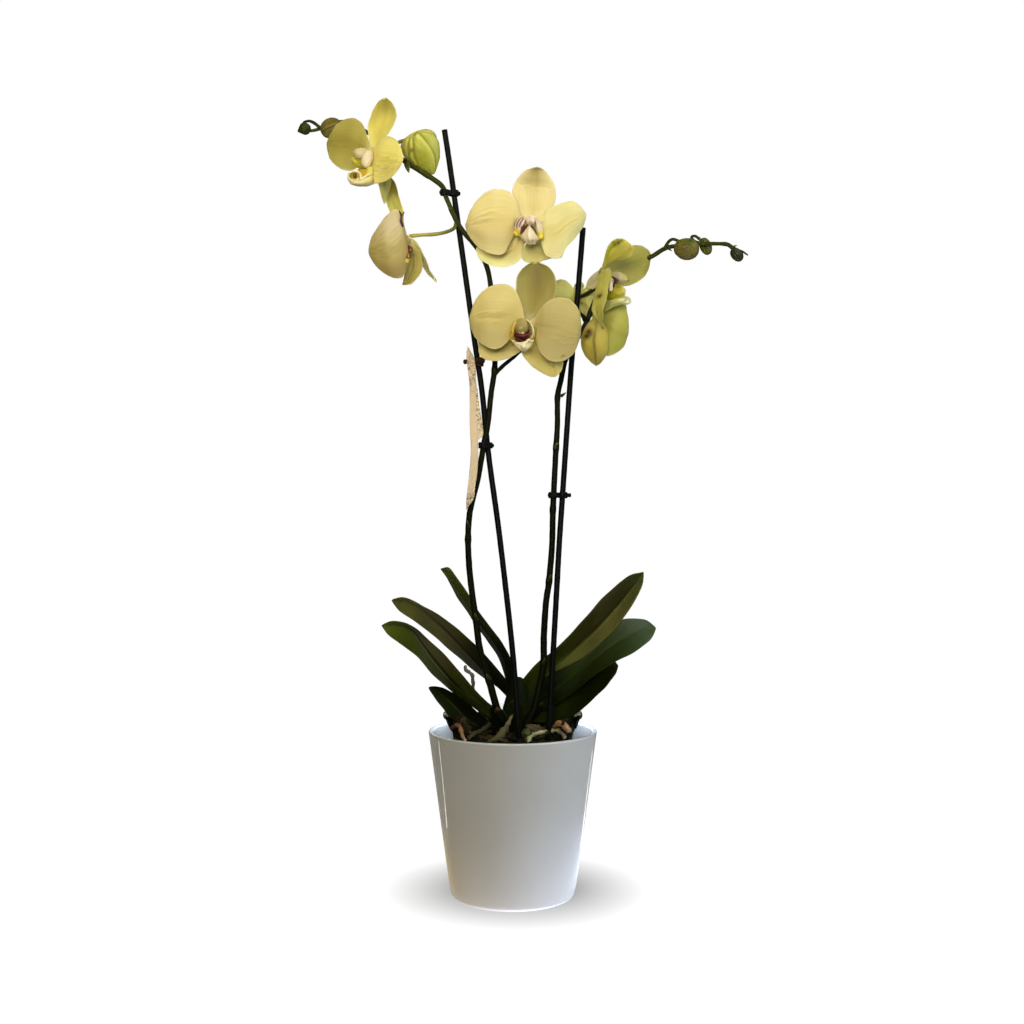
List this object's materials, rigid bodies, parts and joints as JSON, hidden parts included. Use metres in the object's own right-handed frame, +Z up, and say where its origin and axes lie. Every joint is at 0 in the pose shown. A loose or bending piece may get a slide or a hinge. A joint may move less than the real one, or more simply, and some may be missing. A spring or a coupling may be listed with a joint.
{
  "type": "potted orchid",
  "caption": "Potted moth orchid with two staked flower spikes, pale yellow flowers, buds and broad leaves, in a clear nursery pot inside a white glazed cover pot.",
  "frame": {"origin": "centre of the cover pot's foot, on the surface it stands on", "axes": "+Z up, -Y towards the front of the plant, +X to the right seen from the front"},
  "size_m": [0.3758, 0.1392, 0.6597],
  "materials": {
    "glaze": "glossy white glaze",
    "nursery_plastic": "clear, slightly green, thin plastic",
    "bark": "coarse bark chips",
    "leaf": "waxy dark green leaf",
    "stem": "satin green stem",
    "petal": "soft satin petal",
    "lip": "waxy lip with dark red marks",
    "bud": "satin bud",
    "root": "dry corky root",
    "stake": "black plastic-coated stick",
    "clip": "black moulded plastic",
    "label_clip": "brown moulded plastic",
    "label": "uncoated card with a speckled band"
  },
  "bodies": {
    "root": {"aerial_root": "root", "bark_chip_1": "bark", "bark_chip_2": "bark", "bark_chip_3": "bark", "bark_chip_4": "bark", "bark_chip_5": "bark", "bark_mix": "bark", "bud_left_large": "bud", "bud_left_tip": "bud", "bud_opening": "bud", "bud_right_large": "bud", "bud_right_medium": "bud", "bud_right_small": "bud", "cover_pot": "glaze", "crown": "leaf", "flower_1": "petal", "flower_1_lip": "lip", "flower_2": "petal", "flower_2_lip": "lip", "flower_3": "petal", "flower_3_lip": "lip", "flower_4": "petal", "flower_4_lip": "lip", "flower_5": "petal", "flower_5_lip": "lip", "flower_6": "petal", "flower_6_lip": "lip", "flower_7": "petal", "flower_7_lip": "lip", "flower_spike_left": "stem", "flower_spike_right": "stem", "label_clip": "label_clip", "leaf_1": "leaf", "leaf_2": "leaf", "leaf_3": "leaf", "leaf_4": "leaf", "leaf_5": "leaf", "leaf_6": "leaf", "leaf_7": "leaf", "nursery_pot": "nursery_plastic", "plant_label": "label", "root_1": "root", "root_2": "root", "root_3": "root", "root_4": "root", "root_5": "root", "stem_clip_left_high": "clip", "stem_clip_left_low": "clip", "stem_clip_right": "clip", "support_stake_left": "stake", "support_stake_right": "stake"}
  },
  "joints": []
}
